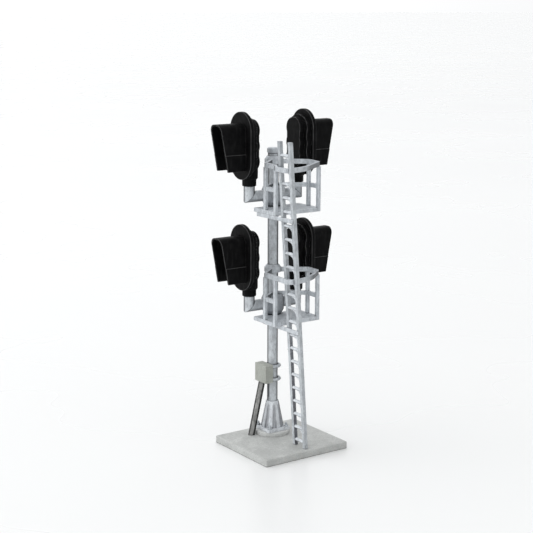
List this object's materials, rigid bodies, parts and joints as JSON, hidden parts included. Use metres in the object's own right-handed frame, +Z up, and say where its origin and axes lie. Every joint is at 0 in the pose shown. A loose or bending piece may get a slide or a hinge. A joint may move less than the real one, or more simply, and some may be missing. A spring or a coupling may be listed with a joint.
{
  "type": "model signal mast",
  "caption": "Tall scale-model railway signal mast on a rectangular base, with two railed decks, a leaning ladder and hooded multi-lamp heads on swivel brackets.",
  "frame": {"origin": "middle of the overall width and of the base plate's depth, on the base plate's underside; X = 0 and Y = +5.8 mm is the mast's axis", "axes": "+Z up the mast, +X towards the right-hand signal heads' lenses, -Y towards the ladder"},
  "size_m": [0.0352, 0.0234, 0.0868],
  "materials": {
    "light_grey_metal": "satin light grey paint",
    "base_grey": "matte grey paint, finely speckled",
    "black_enamel": "matte black paint",
    "box_grey": "matte greenish grey paint",
    "dark_conduit": "matte dark grey paint",
    "red_glass": "clear red, unlit",
    "yellow_glass": "clear amber, unlit",
    "green_glass": "clear green, unlit"
  },
  "bodies": {
    "structure": {"base_plate": "base_grey", "foundation_pad": "base_grey", "mast_foot": "light_grey_metal", "anchor_bolts": "light_grey_metal", "mast_tube": "light_grey_metal", "mast_cap": "light_grey_metal", "ladder_stringers": "light_grey_metal", "ladder_rungs": "light_grey_metal", "ladder_straps": "light_grey_metal", "rail_clamps": "light_grey_metal", "junction_box": "box_grey", "junction_box_cover": "box_grey", "u_bolts": "light_grey_metal", "conduit": "dark_conduit", "lower_deck": "light_grey_metal", "lower_rail_posts": "light_grey_metal", "lower_handrail": "light_grey_metal", "lower_mid_rails": "light_grey_metal", "lower_bracket_hub": "light_grey_metal", "lower_left_bracket": "light_grey_metal", "lower_right_bracket": "light_grey_metal", "upper_deck": "light_grey_metal", "upper_rail_posts": "light_grey_metal", "upper_handrail": "light_grey_metal", "upper_mid_rails": "light_grey_metal", "upper_bracket_hub": "light_grey_metal", "upper_left_bracket": "light_grey_metal", "upper_right_bracket": "light_grey_metal"},
    "lower_left_head": {"lower_left_backplate": "black_enamel", "lower_left_lamp_case": "black_enamel", "lower_left_rear_cover": "black_enamel", "lower_left_hood": "black_enamel", "lower_left_socket": "black_enamel", "lower_left_lens_red": "red_glass", "lower_left_lens_yellow": "yellow_glass", "lower_left_lens_green": "green_glass"},
    "lower_right_head": {"lower_right_backplate": "black_enamel", "lower_right_lamp_case": "black_enamel", "lower_right_rear_cover": "black_enamel", "lower_right_hood": "black_enamel", "lower_right_socket": "black_enamel", "lower_right_lens_red": "red_glass", "lower_right_lens_yellow": "yellow_glass", "lower_right_lens_green": "green_glass"},
    "upper_left_head": {"upper_left_backplate": "black_enamel", "upper_left_lamp_case": "black_enamel", "upper_left_rear_cover": "black_enamel", "upper_left_hood": "black_enamel", "upper_left_socket": "black_enamel", "upper_left_lens_red": "red_glass", "upper_left_lens_yellow": "yellow_glass", "upper_left_lens_green": "green_glass"},
    "upper_right_head": {"upper_right_backplate": "black_enamel", "upper_right_lamp_case": "black_enamel", "upper_right_rear_cover": "black_enamel", "upper_right_hood": "black_enamel", "upper_right_socket": "black_enamel", "upper_right_lens_red": "red_glass", "upper_right_lens_yellow": "yellow_glass", "upper_right_lens_green": "green_glass"}
  },
  "joints": [
    {"name": "lower_left_head_swivel", "type": "hinge", "parent": "structure", "child": "lower_left_head", "pos_m": [-0.0074, 0.0058, 0.0411], "axis": [0, 0, 1], "range_deg": [-45, 25]},
    {"name": "lower_right_head_swivel", "type": "hinge", "parent": "structure", "child": "lower_right_head", "pos_m": [0.0074, 0.0058, 0.0411], "axis": [0, 0, 1], "range_deg": [-2, 45]},
    {"name": "upper_left_head_swivel", "type": "hinge", "parent": "structure", "child": "upper_left_head", "pos_m": [-0.0074, 0.0058, 0.06945], "axis": [0, 0, 1], "range_deg": [-45, 25]},
    {"name": "upper_right_head_swivel", "type": "hinge", "parent": "structure", "child": "upper_right_head", "pos_m": [0.0074, 0.0058, 0.06945], "axis": [0, 0, 1], "range_deg": [-2, 45]}
  ]
}
